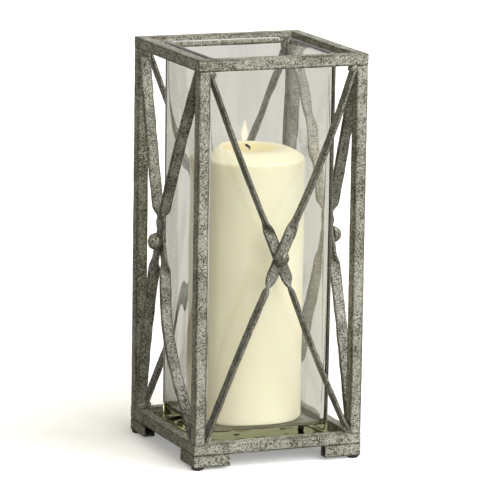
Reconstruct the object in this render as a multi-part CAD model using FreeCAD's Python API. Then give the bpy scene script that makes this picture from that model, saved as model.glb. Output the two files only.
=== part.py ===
import FreeCAD, Part
import math
import os

# A candle lantern: a welded cage of square tube standing on four corner feet, with a cross of
# two twisted flat bars on every side. A square glass stands on a plate inside the cage, and a
# round pillar candle stands in the glass.
#
# Millimetres. +Z is up and the front of the lantern faces -Y. The origin is on the surface that
# the lantern stands on, under the middle of the cage.

Vector = FreeCAD.Vector
UP = Vector(0, 0, 1)
ORIGIN = Vector(0, 0, 0)

# --- Driving dimensions ------------------------------------------------------------------
CAGE_WIDTH = 150.0  # outside, the same both ways
CAGE_HEIGHT = 341.0  # from the underside of the feet to the top of the cage

TUBE = 10.0  # side of the square tube that every rail, post and foot is cut from
TUBE_WALL = 1.2
TUBE_EDGE = 0.9  # radius of the tube's long edges

FOOT_ARM = 32.0  # each foot runs this far along both sides from the corner
PAD_DIAMETER = 11.0
PAD_HEIGHT = 2.5
PAD_LAND = 5.0  # diameter of the flat that meets the floor

BAR_WIDTH = 9.8
BAR_THICKNESS = 3.0
BAR_FLAT = 17.0  # half the length that lies flat, each side of the crossing
BAR_TURN = 16.0  # length of each quarter turn, beyond the flat
BAR_SPRING = 1.5  # power of the curve by which a bar springs outwards to its crossing

RIVET_BALL = 14.0  # diameter of the ball head
RIVET_STANDS = 0.8  # height of the ball's centre above the outer bar
RIVET_GRIP = 6.3  # from head to tail, a little more than two bars
RIVET_SHANK = 5.0
RIVET_HOLE = 5.4
RIVET_TAIL = 8.0
RIVET_TAIL_HEIGHT = 1.6

PLATE_THICKNESS = 1.5
PLATE_RISE = 1.0  # the plate sits this far above the underside of the bottom rails

GLASS_TOP = 113.0  # outside width at the rim
GLASS_BOTTOM = 111.0  # outside width at the base, so that it comes out of its mould
GLASS_HEIGHT = 326.5
GLASS_WALL = 4.0
GLASS_FLOOR = 11.0
GLASS_CORNER = 8.0  # outside radius of the upright corners
GLASS_FOOT_EDGE = 4.0
GLASS_FLOOR_EDGE = 3.5
GLASS_RIM_EDGE = 1.2

CANDLE_DIAMETER = 93.5
CANDLE_HEIGHT = 231.5
CANDLE_FALL = 6.0  # the melted top falls this far from its rim to its shoulder
CANDLE_SHOULDER = 4.0
CANDLE_FOOT = 3.0
POOL_DIAMETER = 56.0  # melted hollow round the wick
POOL_DEPTH = 3.0
POOL_RIM = 2.0  # width of the flat rim round it
WICK_DIAMETER = 2.0
WICK_HOLE = 2.3
WICK_RISE = 1.5  # upright length above the pool
WICK_BEND = 2.0
WICK_LEAN = 60.0  # degrees that the burnt tip leans to the left
WICK_TIP = 3.5

# How each cross was fitted by hand: how far its middle is sprung out from the middle of the
# tubes, moved along its side to the right as seen from outside, and moved up.
CROSS_OUT = {"front": 4.6, "right": 5.0, "back": 4.6, "left": 8.8}
CROSS_ALONG = {"front": -2.0, "right": 0.0, "back": 1.0, "left": 0.0}
CROSS_UP = {"front": -1.5, "right": 0.0, "back": 0.0, "left": 3.0}

# How far an arm of a bar is bent at its middle: along its side to the right, and outwards.
ARM_BEND = {
    ("front", "outer", "upper"): (2.8, 0.0),
    ("front", "outer", "lower"): (-1.4, 0.0),
    ("front", "inner", "upper"): (-1.1, 0.0),
    ("front", "inner", "lower"): (-1.9, 0.0),
    ("left", "inner", "lower"): (-9.0, 4.5),
}

# --- Heights and widths that follow from them --------------------------------------------
HALF = CAGE_WIDTH / 2
CLEAR = HALF - TUBE  # half the clear opening between two posts
MIDDLE = HALF - TUBE / 2  # from the lantern's axis to the middle of a side's tubes
FOOT_Z = PAD_HEIGHT
BOTTOM_RING_Z = FOOT_Z + TUBE
POST_Z = BOTTOM_RING_Z + TUBE
TOP_RING_Z = FOOT_Z + CAGE_HEIGHT - TUBE
POST_LENGTH = TOP_RING_Z - POST_Z
PLATE_Z = BOTTOM_RING_Z + PLATE_RISE
GLASS_Z = PLATE_Z + PLATE_THICKNESS
CANDLE_Z = GLASS_Z + GLASS_FLOOR

SIDES = ("front", "right", "back", "left")
CORNERS = ("front_left", "front_right", "back_right", "back_left")


def write(name, shape):
    """Save one piece, in its place, as a STEP file of its own."""
    shape.exportStep("parts/" + name + ".step")
    print(name, "solids", len(shape.Solids), "valid", shape.isValid(), "mm3", round(shape.Volume))


def turned(shape, quarter_turns):
    """A copy of a piece of the front side, turned about the lantern's axis to another side."""
    copy = shape.copy()
    copy.rotate(ORIGIN, UP, 90 * quarter_turns)
    return copy


def upright_tube(length):
    """A square tube standing on the origin, open at both ends, with soft long edges."""
    outside = Part.makeBox(TUBE, TUBE, length, Vector(-TUBE / 2, -TUBE / 2, 0))
    upright = [edge for edge in outside.Edges if abs(edge.tangentAt(edge.FirstParameter).z) > 0.9]
    outside = outside.makeFillet(TUBE_EDGE, upright)
    bore = TUBE - 2 * TUBE_WALL
    return outside.cut(Part.makeBox(bore, bore, length, Vector(-bore / 2, -bore / 2, 0)))


def lying_tube(length, z):
    """A tube lying along the front side, centred on the lantern's width, its underside at z."""
    tube = upright_tube(length)
    tube.rotate(ORIGIN, Vector(0, 1, 0), 90)
    tube.translate(Vector(-length / 2, -MIDDLE, z + TUBE / 2))
    return tube


def mitre_wedge(z):
    """The quarter of a ring between two 45 degree planes that holds its front side."""
    reach = HALF + TUBE
    points = [Vector(-reach, -reach, z - 1), Vector(reach, -reach, z - 1), Vector(0, 0, z - 1)]
    outline = Part.makePolygon(points + points[:1])
    return Part.Face(outline).extrude(Vector(0, 0, TUBE + 2))


def front_rail(z):
    """One side of a square ring: a tube with both ends mitred."""
    return lying_tube(CAGE_WIDTH, z).common(mitre_wedge(z))


def front_left_post():
    """A corner post between the two rings."""
    post = upright_tube(POST_LENGTH)
    post.translate(Vector(-MIDDLE, -MIDDLE, POST_Z))
    return post


def front_left_foot():
    """Two short tubes mitred together under the corner, each with its far end open."""
    arm = lying_tube(CAGE_WIDTH, FOOT_Z).common(mitre_wedge(FOOT_Z))
    keep = Part.makeBox(FOOT_ARM, CAGE_WIDTH, TUBE, Vector(-HALF, -HALF, FOOT_Z))
    arm = arm.common(keep)
    other = arm.mirror(ORIGIN, Vector(1, -1, 0))
    return arm.fuse(other).removeSplitter()


def front_left_pad():
    """A rubber dome under the corner, with a small flat where it meets the floor."""
    land = PAD_LAND / 2
    rim = PAD_DIAMETER / 2
    bulge = Vector(rim - 0.9, 0, PAD_HEIGHT * 0.38)
    dome = Part.Arc(Vector(land, 0, 0), bulge, Vector(rim, 0, PAD_HEIGHT)).toShape()
    floor = Part.makeLine(ORIGIN, Vector(land, 0, 0))
    top = Part.makeLine(Vector(rim, 0, PAD_HEIGHT), Vector(0, 0, PAD_HEIGHT))
    axis = Part.makeLine(Vector(0, 0, PAD_HEIGHT), ORIGIN)
    pad = Part.Face(Part.Wire([floor, dome, top, axis])).revolve(ORIGIN, UP, 360)
    pad.translate(Vector(-MIDDLE, -MIDDLE, 0))
    return pad


def cross_point(side):
    """Where the middle of a cross stands, as if its side were turned to the front."""
    height = POST_Z + POST_LENGTH / 2 + CROSS_UP[side]
    return Vector(CROSS_ALONG[side], -(MIDDLE + CROSS_OUT[side]), height)


def bar_path(side, lean, share):
    """A point on a bar's centre line: share runs from -1 at its top end to 1 at its lower end."""
    cross = cross_point(side)
    end = Vector(lean * CLEAR, -MIDDLE, POST_Z)
    if share < 0:
        end = Vector(-lean * CLEAR, -MIDDLE, POST_Z + POST_LENGTH)
    away = abs(share)
    arm = (side, "inner" if lean > 0 else "outer", "upper" if share < 0 else "lower")
    bend_along, bend_out = ARM_BEND.get(arm, (0.0, 0.0))
    bend = max(math.sin(math.pi * min(away, 1)), 0) * (1 - math.exp(-((away / 0.25) ** 2)))
    # The bar that leans to the left lies outside the other one, by one thickness in all.
    lap = -lean * BAR_THICKNESS / 2 * (1 - away**3)
    sprung = 1 - away**BAR_SPRING
    x = cross.x + (end.x - cross.x) * away + bend_along * bend
    y = end.y + (cross.y - end.y) * sprung - lap - bend_out * bend
    z = cross.z + (end.z - cross.z) * away
    return Vector(x, y, z)


def bar_turn(distance):
    """Degrees that a bar is turned: edge-on to its side beyond the turns, flat at the crossing."""
    beyond = min(max(abs(distance) - BAR_FLAT, 0) / BAR_TURN, 1)
    eased = beyond * beyond * (3 - 2 * beyond)
    return math.copysign(90 * eased, distance)


def bar_section(side, lean, distance, half_length):
    """The rectangle across a bar at a distance from its crossing, below it if positive."""
    share = distance / half_length
    step = 0.004
    centre = bar_path(side, lean, share)
    along = bar_path(side, lean, share + step) - bar_path(side, lean, share - step)
    if abs(share) < 2 * step:
        along = Vector(lean * CLEAR, 0, -POST_LENGTH / 2)
    along.normalize()
    outward = Vector(0, -1, 0)
    leftward = outward.cross(along)
    leftward.normalize()
    if leftward.x > 0:
        leftward = leftward * -1
    outward = along.cross(leftward)
    if outward.y > 0:
        outward = outward * -1
    turn = math.radians(bar_turn(distance))
    through = outward * math.cos(turn) - leftward * math.sin(turn)
    across = along.cross(through)
    a = across * (BAR_WIDTH / 2)
    b = through * (BAR_THICKNESS / 2)
    corners = [centre + a + b, centre - a + b, centre - a - b, centre + a - b]
    return Part.makePolygon(corners + corners[:1])


def bar(side, lean):
    """One twisted bar of a cross: lean is 1 where it runs down to the right, -1 to the left."""
    half_length = math.hypot(CLEAR, POST_LENGTH / 2)
    past = half_length + 8
    edge_on = BAR_FLAT + BAR_TURN
    arm = [edge_on + (past - edge_on) * k / 6 for k in range(1, 7)]
    turning = [BAR_FLAT + BAR_TURN * k / 8 for k in range(9)]
    flat = [BAR_FLAT * 0.5]
    below = flat + turning + arm
    distances = [-d for d in reversed(below)] + below
    sections = [bar_section(side, lean, d, half_length) for d in distances]
    whole = Part.makeLoft(sections, True, True)
    opening = Part.makeBox(2 * CLEAR, 60, POST_LENGTH, Vector(-CLEAR, -MIDDLE - 50, POST_Z))
    cross = cross_point(side)
    hole = Part.makeCylinder(RIVET_HOLE / 2, 30, cross + Vector(0, 15, 0), Vector(0, -1, 0))
    return whole.common(opening).cut(hole)


def rivet(side):
    """A rivet with a ball head outside, its shank through both bars and a flat tail inside."""
    cross = cross_point(side)
    outward = Vector(0, -1, 0)
    face = cross + outward * BAR_THICKNESS
    inner = face - outward * RIVET_GRIP
    ball = Part.makeSphere(RIVET_BALL / 2, face + outward * RIVET_STANDS)
    behind = Part.makeBox(40, 20, 40, Vector(face.x - 20, face.y, face.z - 20))
    ball = ball.cut(behind)
    shank = Part.makeCylinder(RIVET_SHANK / 2, RIVET_GRIP + 1, inner, outward)
    tail_start = inner - outward * RIVET_TAIL_HEIGHT
    tail = Part.makeCylinder(RIVET_TAIL / 2, RIVET_TAIL_HEIGHT, tail_start, outward)
    return ball.fuse([shank, tail]).removeSplitter()


def base_plate():
    """The plate welded inside the bottom ring, which the glass stands on."""
    return Part.makeBox(2 * CLEAR, 2 * CLEAR, PLATE_THICKNESS, Vector(-CLEAR, -CLEAR, PLATE_Z))


def rounded_square(width, radius, z):
    """A square wire with round corners, centred on the lantern's axis."""
    flat = width / 2 - radius
    edges = []
    for k in range(4):
        side = Part.makeLine(Vector(-flat, -width / 2, z), Vector(flat, -width / 2, z))
        corner = Part.makeCircle(radius, Vector(flat, -flat, z), UP, 270, 360)
        for edge in (side, corner):
            edge.rotate(ORIGIN, UP, 90 * k)
            edges.append(edge)
    return Part.Wire(edges)


def glass_width(z):
    """The glass's outside width at a height, which narrows evenly towards the base."""
    return GLASS_BOTTOM + (GLASS_TOP - GLASS_BOTTOM) * (z - GLASS_Z) / GLASS_HEIGHT


def flat_edges(shape, z):
    """The edges of a shape that lie wholly at one height."""
    return [e for e in shape.Edges if abs(e.BoundBox.ZMin - z) < 0.01 and e.BoundBox.ZLength < 0.01]


def glass_vase():
    """A tall square glass with a heavy floor, soft edges and an open top."""
    rim = GLASS_Z + GLASS_HEIGHT
    low = rounded_square(glass_width(GLASS_Z), GLASS_CORNER, GLASS_Z)
    high = rounded_square(glass_width(rim), GLASS_CORNER, rim)
    outside = Part.makeLoft([low, high], True, True)
    outside = outside.makeFillet(GLASS_FOOT_EDGE, flat_edges(outside, GLASS_Z))
    above = rim + 10
    inner_corner = GLASS_CORNER - GLASS_WALL
    low = rounded_square(glass_width(CANDLE_Z) - 2 * GLASS_WALL, inner_corner, CANDLE_Z)
    high = rounded_square(glass_width(above) - 2 * GLASS_WALL, inner_corner, above)
    inside = Part.makeLoft([low, high], True, True)
    inside = inside.makeFillet(GLASS_FLOOR_EDGE, flat_edges(inside, CANDLE_Z))
    vase = outside.cut(inside)
    return vase.makeFillet(GLASS_RIM_EDGE, flat_edges(vase, rim))


def candle_wax():
    """A round pillar whose top slopes up from a soft shoulder to a melted pool, bored for its wick."""
    radius = CANDLE_DIAMETER / 2
    top = CANDLE_HEIGHT
    edge = top - CANDLE_FALL
    pool = POOL_DIAMETER / 2
    hole = WICK_HOLE / 2
    soft = math.sqrt(0.5)

    foot = CANDLE_FOOT
    foot_mid = Vector(radius - foot + foot * soft, 0, foot - foot * soft)
    shoulder = CANDLE_SHOULDER
    shoulder_mid = Vector(radius - shoulder + shoulder * soft, 0, edge - shoulder + shoulder * soft)
    pool_mid = Vector(pool * 0.6, 0, top - POOL_DEPTH * 0.72)

    base = Part.makeLine(Vector(hole, 0, 0), Vector(radius - foot, 0, 0))
    foot_arc = Part.Arc(Vector(radius - foot, 0, 0), foot_mid, Vector(radius, 0, foot)).toShape()
    side = Part.makeLine(Vector(radius, 0, foot), Vector(radius, 0, edge - shoulder))
    shoulder_end = Vector(radius - shoulder, 0, edge)
    shoulder_arc = Part.Arc(Vector(radius, 0, edge - shoulder), shoulder_mid, shoulder_end).toShape()
    rim_start = Vector(pool + POOL_RIM, 0, top)
    slope = Part.makeLine(shoulder_end, rim_start)
    rim = Part.makeLine(rim_start, Vector(pool, 0, top))
    pool_end = Vector(hole, 0, top - POOL_DEPTH)
    pool_arc = Part.Arc(Vector(pool, 0, top), pool_mid, pool_end).toShape()
    bore = Part.makeLine(pool_end, Vector(hole, 0, 0))

    outline = Part.Wire([base, foot_arc, side, shoulder_arc, slope, rim, pool_arc, bore])
    wax = Part.Face(outline).revolve(ORIGIN, UP, 360)
    wax.translate(Vector(0, 0, CANDLE_Z))
    return wax


def candle_wick():
    """A braided wick up the middle of the candle, its burnt tip leaning to the left."""
    start = Vector(0, 0, CANDLE_Z + 1)
    bend_start = Vector(0, 0, CANDLE_Z + CANDLE_HEIGHT - POOL_DEPTH + WICK_RISE)
    lean = math.radians(WICK_LEAN)
    centre = bend_start - Vector(WICK_BEND, 0, 0)
    bend_mid = centre + Vector(math.cos(lean / 2), 0, math.sin(lean / 2)) * WICK_BEND
    bend_end = centre + Vector(math.cos(lean), 0, math.sin(lean)) * WICK_BEND
    tip = bend_end + Vector(-math.sin(lean), 0, math.cos(lean)) * WICK_TIP
    upright = Part.makeLine(start, bend_start)
    bend = Part.Arc(bend_start, bend_mid, bend_end).toShape()
    path = Part.Wire([upright, bend, Part.makeLine(bend_end, tip)])
    section = Part.Wire([Part.makeCircle(WICK_DIAMETER / 2, start, UP)])
    return path.makePipeShell([section], True, True)


def main():
    os.makedirs("parts", exist_ok=True)
    for turns, side in enumerate(SIDES):
        write("top_rail_" + side, turned(front_rail(TOP_RING_Z), turns))
        write("bottom_rail_" + side, turned(front_rail(BOTTOM_RING_Z), turns))
        write("brace_" + side + "_inner", turned(bar(side, 1), turns))
        write("brace_" + side + "_outer", turned(bar(side, -1), turns))
        write("rivet_" + side, turned(rivet(side), turns))
    for turns, corner in enumerate(CORNERS):
        write("post_" + corner, turned(front_left_post(), turns))
        write("foot_" + corner, turned(front_left_foot(), turns))
        write("foot_pad_" + corner, turned(front_left_pad(), turns))
    write("base_plate", base_plate())
    write("glass_vase", glass_vase())
    write("candle_wax", candle_wax())
    write("candle_wick", candle_wick())


main()
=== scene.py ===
# %% [markdown]
# # A candle lantern in its real finishes
#
# The lantern is a cage of square steel tube, with a cross of two twisted flat bars on every side.
# A tall square glass stands in the cage, and a round pillar candle stands in the glass.
# The CAD model gives every size and place. It could be shown as it is with new materials, but its
# edges are sharp and its faces are perfectly flat, so most of it is rebuilt here as softer skins in
# the same places. The first step loads that model and notes the box that it fills.

# %% Load the frame
import math

import bmesh
import bpy
import numpy as np
from mathutils import Matrix, Vector


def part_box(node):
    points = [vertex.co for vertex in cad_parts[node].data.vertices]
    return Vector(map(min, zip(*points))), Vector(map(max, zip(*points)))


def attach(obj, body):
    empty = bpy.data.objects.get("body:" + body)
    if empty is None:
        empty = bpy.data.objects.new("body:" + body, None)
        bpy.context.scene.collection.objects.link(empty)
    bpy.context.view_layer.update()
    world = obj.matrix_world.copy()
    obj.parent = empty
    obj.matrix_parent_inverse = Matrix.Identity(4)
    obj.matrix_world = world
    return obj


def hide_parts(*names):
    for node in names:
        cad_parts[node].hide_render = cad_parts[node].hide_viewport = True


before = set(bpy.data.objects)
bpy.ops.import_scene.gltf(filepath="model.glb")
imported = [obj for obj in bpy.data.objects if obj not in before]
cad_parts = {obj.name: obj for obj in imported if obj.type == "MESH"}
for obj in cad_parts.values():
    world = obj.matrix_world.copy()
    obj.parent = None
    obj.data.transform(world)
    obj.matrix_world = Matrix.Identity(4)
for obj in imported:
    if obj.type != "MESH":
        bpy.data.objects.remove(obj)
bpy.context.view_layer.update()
MM = 0.001

# %% [markdown]
# Every place comes from the boxes of the CAD pieces. A rail gives the cage's half width, a post
# gives the tube's size, and the lowest and highest faces give the heights of the two rings.
# All lengths are in metres.

# %% Sizes read from the frame
SIDES = ("front", "right", "back", "left")
CORNERS = ("front_left", "front_right", "back_right", "back_left")

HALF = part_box("top_rail_front")[1].x
POST_LOW, POST_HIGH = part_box("post_front_left")
TUBE = POST_HIGH.x - POST_LOW.x
CLEAR = HALF - TUBE
MIDDLE = HALF - TUBE / 2
POST_Z, POST_TOP = POST_LOW.z, POST_HIGH.z
BOTTOM_RING_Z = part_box("bottom_rail_front")[0].z
FOOT_LOW, FOOT_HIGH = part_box("foot_front_left")
TUBE_WALL = 1.2 * MM
TUBE_EDGE = 1.0 * MM
print("cage half width", round(HALF / MM, 1), "tube", round(TUBE / MM, 1))

# %% [markdown]
# The camera comes first, so that every later step can be judged. The lantern is seen from a
# little above and from its left front corner, through a long lens that keeps its uprights
# nearly parallel. A camera could be aimed with a constraint, but three plain axes say the same
# thing: back points from the object to the lens, right and up span the picture.

# %% Camera
CAMERA_AZIMUTH = math.radians(-22.38)
CAMERA_ELEVATION = math.radians(10.91)
CAMERA_ROLL = math.radians(0.90)
CAMERA_DISTANCE = 3.4833
CAMERA_LENS = 294.7  # millimetres, on a sensor 36 mm wide
AIM_RIGHT, AIM_UP = 2.4 * MM, 163.35 * MM  # where the lens points, from under the lantern

sin_a, cos_a = math.sin(CAMERA_AZIMUTH), math.cos(CAMERA_AZIMUTH)
sin_e, cos_e = math.sin(CAMERA_ELEVATION), math.cos(CAMERA_ELEVATION)
back = Vector((sin_a * cos_e, -cos_a * cos_e, sin_e))
right = Vector((cos_a, sin_a, 0))
up = back.cross(right)
level = Matrix((right, up, back)).transposed()

camera = bpy.data.objects.new("camera", bpy.data.cameras.new("camera"))
bpy.context.scene.collection.objects.link(camera)
bpy.context.scene.camera = camera
camera.data.sensor_width = 36
camera.data.lens = CAMERA_LENS
camera.data.clip_end = 50
place = back * CAMERA_DISTANCE + right * AIM_RIGHT + up * AIM_UP + Vector((0, 0, FOOT_LOW.z))
turn = level @ Matrix.Rotation(CAMERA_ROLL, 3, "Z")
camera.matrix_world = Matrix.Translation(place) @ turn.to_4x4()
print("camera at", [round(c, 3) for c in camera.location])

# %% [markdown]
# Materials are node trees, and one small function adds a node with its settings and links, which
# keeps each tree readable. Colours are written as sRGB hex codes, as a paint card would give them,
# and turned to the linear values that a renderer adds and multiplies.


# %% Helpers for materials
def add(tree, kind, inputs=(), **settings):
    """Add one node. inputs maps a socket's name or number to a value, or to the output that
    feeds it, and settings are the node's own properties."""
    node = tree.nodes.new("ShaderNode" + kind)
    for name, value in settings.items():
        setattr(node, name, value)
    for socket, value in dict(inputs).items():
        if isinstance(value, bpy.types.NodeSocket):
            tree.links.new(value, node.inputs[socket])
        else:
            node.inputs[socket].default_value = value
    return node


def srgb(code):
    """The linear colour of a hex code: c / 12.92 where c is dark, else ((c + 0.055) / 1.055) ** 2.4."""
    c = np.array([int(code[k : k + 2], 16) for k in (1, 3, 5)]) / 255
    linear = np.where(c <= 0.04045, c / 12.92, ((c + 0.055) / 1.055) ** 2.4)
    return (*map(float, linear), 1.0)


def new_material(name):
    """An empty material, its node tree and its output node."""
    material = bpy.data.materials.new(name)
    material.use_nodes = True
    material.node_tree.nodes.clear()
    return material, material.node_tree, add(material.node_tree, "OutputMaterial")


def per_metre(size):
    """The scale that makes a pattern repeat about once in a real length."""
    return 1.0 / size


# %% [markdown]
# The stage is a plain pale floor under soft studio light. A broad sun from the right front stands
# for one large softbox, so that the front faces are bright and the left faces fall into shade. A
# weaker one from straight ahead opens the shadows of the round candle, and a dim warm tent of sky
# fills the rest. A lamp near the object would do too, but the floor would then fade away from it,
# and a sun lights all of it evenly. The floor and the tent are white to the eye, and greyer in what
# they throw into the metal and show through the glass, as when white card is kept at a distance.

# %% Floor and light
FLOOR_HALF = 6.0
SHADOW_LIFT = 0.30  # the glow that keeps the floor's shadows pale to the camera
FLOOR_BOUNCE, FLOOR_MIRRORED, FLOOR_THROUGH_GLASS, FLOOR_SEEN = 0.15, 0.60, 0.635, 0.98
TENT_FILL, TENT_MIRRORED, TENT_THROUGH_GLASS = "#7a7354", "#f2f2ef", "#eeebe3"
SOFTBOXES = {  # azimuth, elevation and spread in degrees, and strength
    "key_softbox": (42, 43, 70, 3.55),
    "front_softbox": (-6, 22, 34, 1.3),
}


def stage_piece(name, data):
    """A lamp, the floor or another thing of the studio, in the scene and at the origin."""
    thing = bpy.data.objects.new(name, data)
    bpy.context.scene.collection.objects.link(thing)
    return thing


def toward(azimuth, elevation):
    """The direction of a place seen from the lantern. Azimuth 0 is the front, 90 degrees the right."""
    flat = math.cos(elevation)
    return Vector((math.sin(azimuth) * flat, -math.cos(azimuth) * flat, math.sin(elevation)))


floor_mesh = bpy.data.meshes.new("floor")
corners = np.array([(-1, -1, 0), (1, -1, 0), (1, 1, 0), (-1, 1, 0)]) * FLOOR_HALF
floor_mesh.from_pydata(corners.tolist(), [], [(0, 1, 2, 3)])
stage_piece("floor", floor_mesh)

white_card, tree, output = new_material("matt_white_card")
path = add(tree, "LightPath")
mirrored = add(tree, "MapRange", {0: path.outputs["Is Glossy Ray"], 3: FLOOR_BOUNCE,
                                  4: FLOOR_MIRRORED})
greyer = add(tree, "Mix", {0: path.outputs["Is Transmission Ray"], 2: mirrored.outputs[0],
                           3: FLOOR_THROUGH_GLASS})
albedo = add(tree, "Mix", {0: path.outputs["Is Camera Ray"], 2: greyer.outputs[0], 3: FLOOR_SEEN})
card = add(tree, "BsdfDiffuse", {"Color": albedo.outputs[0]})
shadow_lift = add(tree, "Emission", {"Strength": SHADOW_LIFT})
lifted = add(tree, "AddShader", {0: card.outputs[0], 1: shadow_lift.outputs[0]})
seen = add(tree, "MixShader", {0: path.outputs["Is Camera Ray"], 1: card.outputs[0],
                               2: lifted.outputs[0]})
tree.links.new(seen.outputs[0], output.inputs["Surface"])
floor_mesh.materials.append(white_card)

for name, (azimuth, elevation, spread, strength) in SOFTBOXES.items():
    softbox = stage_piece(name, bpy.data.lights.new(name, "SUN"))
    softbox.data.energy = strength
    softbox.data.angle = math.radians(spread)
    softbox.rotation_mode = "QUATERNION"
    way = toward(math.radians(azimuth), math.radians(elevation))
    softbox.rotation_quaternion = way.to_track_quat("Z", "Y")
    print(name, "shines from", [round(c, 2) for c in way])

world = bpy.data.worlds.new("studio_tent")
bpy.context.scene.world = world
world.use_nodes = True
tree = world.node_tree
tree.nodes.clear()
path = add(tree, "LightPath")
tent = srgb(TENT_FILL)
for kind, colour in (("Is Glossy Ray", TENT_MIRRORED), ("Is Transmission Ray", TENT_THROUGH_GLASS),
                     ("Is Camera Ray", "#ffffff")):
    mix = add(tree, "Mix", {0: path.outputs[kind], 6: tent, 7: srgb(colour)}, data_type="RGBA")
    tent = mix.outputs[2]
sky = add(tree, "Background", {"Color": tent})
add(tree, "OutputWorld", {"Surface": sky.outputs[0]})
bpy.context.scene.view_settings.view_transform = "Standard"

# %% [markdown]
# Every new skin is a grid of points: rows along a path or a profile, columns round it. One
# function turns such a grid into a mesh, joining each point to the next in both directions. A
# wrapped direction joins its last line to its first. Rows that shrink to a point are merged there,
# so that poles are closed, and the normals are made to face outwards after that. An edge sharper
# than 35 degrees stays sharp, and the rest is shaded smooth.


# %% From a grid of points to a mesh
SHARP = math.radians(35)
MERGE = 0.001 * MM


def skin(name, grid, material, body, replaced, wrap_rows=False, edge=None):
    """A piece from a grid of points of shape (rows, columns, 3), closed round its columns.
    Face (i, j) joins the points (i, j), (i, j + 1), (i + 1, j + 1) and (i + 1, j). edge is the
    distance in millimetres of each point from the nearest long edge, kept as an attribute."""
    rows, columns = grid.shape[:2]
    i, j = np.meshgrid(np.arange(rows if wrap_rows else rows - 1), np.arange(columns), indexing="ij")
    below, beside = (i + 1) % rows, (j + 1) % columns
    corners = (i * columns + j, i * columns + beside, below * columns + beside, below * columns + j)
    quads = np.stack(corners, -1).reshape(-1, 4)

    mesh = bpy.data.meshes.new(name)
    mesh.vertices.add(rows * columns)
    mesh.vertices.foreach_set("co", grid.astype(np.float32).ravel())
    mesh.loops.add(quads.size)
    mesh.loops.foreach_set("vertex_index", quads.astype(np.int32).ravel())
    mesh.polygons.add(len(quads))
    mesh.polygons.foreach_set("loop_start", np.arange(len(quads), dtype=np.int32) * 4)
    mesh.update(calc_edges=True)
    if edge is not None:
        kept = mesh.attributes.new("edge_mm", "FLOAT", "POINT")
        kept.data.foreach_set("value", np.broadcast_to(edge, (rows, columns)).astype(np.float32).ravel())

    shell = bmesh.new()
    shell.from_mesh(mesh)
    bmesh.ops.remove_doubles(shell, verts=shell.verts, dist=MERGE)
    bmesh.ops.recalc_face_normals(shell, faces=shell.faces)
    shell.to_mesh(mesh)
    shell.free()
    mesh.shade_smooth()
    mesh.set_sharp_from_angle(angle=SHARP)
    mesh.materials.append(material)

    piece = bpy.data.objects.new(name, mesh)
    bpy.context.scene.collection.objects.link(piece)
    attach(piece, body)
    if replaced:
        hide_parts(*replaced)
    return piece


def turned(points, quarters):
    """Points of the front side turned about the upright axis: (x, y) becomes (-y, x) each time."""
    for _ in range(quarters % 4):
        points = np.stack([-points[..., 1], points[..., 0], points[..., 2]], -1)
    return points


# %% [markdown]
# Nothing hand made is perfectly flat. A true hammer texture could be sculpted, but a smooth random
# field is enough for metal that was cut, ground and dipped by hand: a few plane waves in random
# directions, added up. It depends only on the place, so two pieces that meet stay joined.


# %% Small unevenness
def uneven(points, size, seed):
    """A smooth field between about -1 and 1: the mean of 14 cosines of (direction . point + phase),
    whose wavelengths lie round the given size."""
    random = np.random.default_rng(seed)
    waves = 14
    direction = random.normal(size=(waves, 3))
    direction /= np.linalg.norm(direction, axis=1, keepdims=True)
    number = 2 * np.pi / (size * random.uniform(0.6, 1.6, waves))
    phase = random.uniform(0, 2 * np.pi, waves)
    wave = np.cos(points @ (direction * number[:, None]).T + phase)
    return wave.sum(-1) / math.sqrt(waves)


# %% [markdown]
# The cage is mild steel tube with an antiqued zinc finish: hot zinc leaves a coarse pale grey
# spangle, a dark brown wash is rubbed into it, and the wash stays along the edges and in the
# pits. An image texture could show that, but a pattern in the piece's own coordinates runs
# unbroken across every joint. Each crystal of the spangle has its own tone. Finer crystals would
# vanish at this distance, so they are drawn nearly a millimetre across.


# %% Antiqued zinc on steel
GRAIN = 0.85 * MM
CLOUD = 16 * MM
STAIN = 42 * MM


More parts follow.
